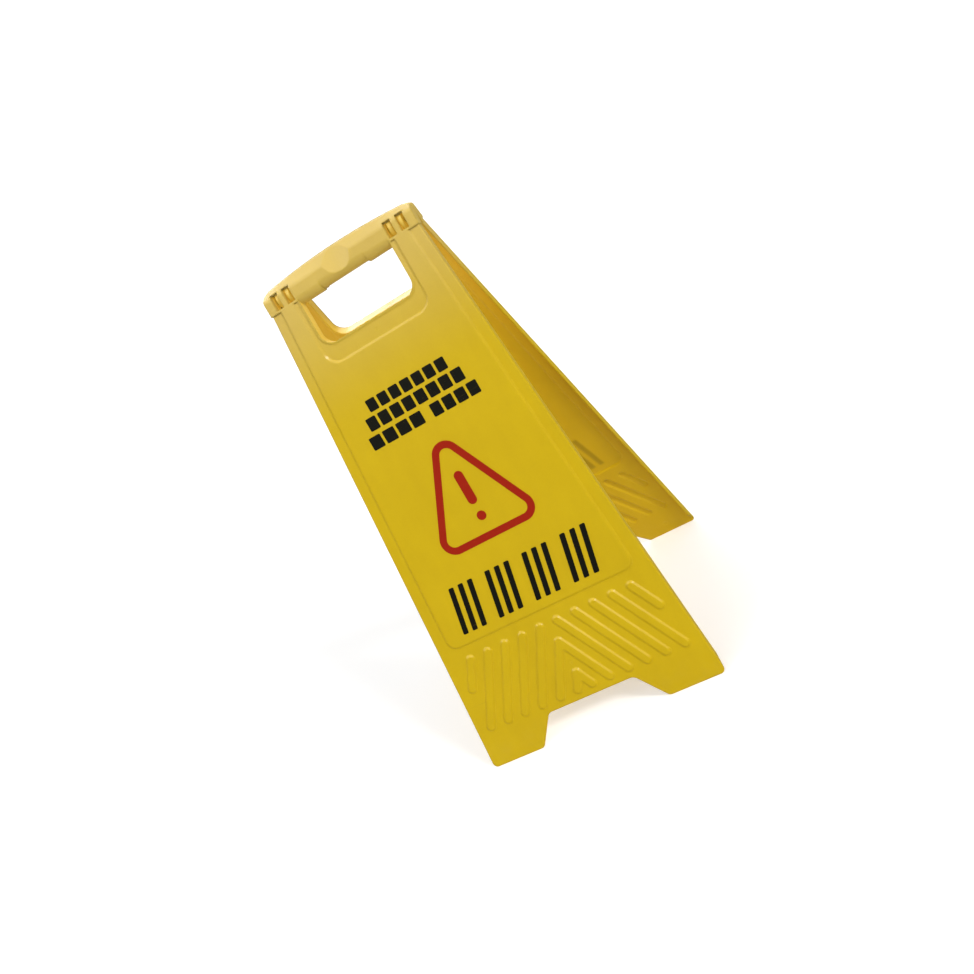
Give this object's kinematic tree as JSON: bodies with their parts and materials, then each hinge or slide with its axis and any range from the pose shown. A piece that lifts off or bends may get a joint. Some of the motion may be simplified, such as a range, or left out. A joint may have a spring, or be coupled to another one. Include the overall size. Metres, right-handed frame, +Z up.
{
  "type": "wet floor sign",
  "caption": "Folding A-frame floor sign: tapered moulded panels with feet, ribs and a handle window, hinged on pins inside the carrying bar.",
  "frame": {"origin": "on the floor, midway between the feet of the two panels", "axes": "+Z up, +X across the sign to the right as seen from the front, +Y from the front panel to the rear panel"},
  "size_m": [0.2986, 0.331, 0.5863],
  "materials": {
    "yellow_plastic": "moulded polypropylene, softly glossy, fine grain",
    "pin_plastic": "moulded, smooth",
    "black_ink": "screen-printed ink, satin",
    "red_ink": "screen-printed ink, satin"
  },
  "bodies": {
    "front_half": {"front_panel": "yellow_plastic", "left_hinge_pin": "pin_plastic", "right_hinge_pin": "pin_plastic", "front_block_print": "black_ink", "front_triangle_print": "red_ink", "front_mark_print": "red_ink", "front_band_print": "black_ink"},
    "rear_half": {"rear_panel": "yellow_plastic", "rear_block_print": "black_ink", "rear_triangle_print": "red_ink", "rear_mark_print": "red_ink", "rear_band_print": "black_ink"}
  },
  "joints": [
    {"name": "fold", "type": "hinge", "parent": "front_half", "child": "rear_half", "pos_m": [0, 0, 0.56627], "axis": [-1, 0, 0], "range_deg": [0, 30.4]}
  ]
}
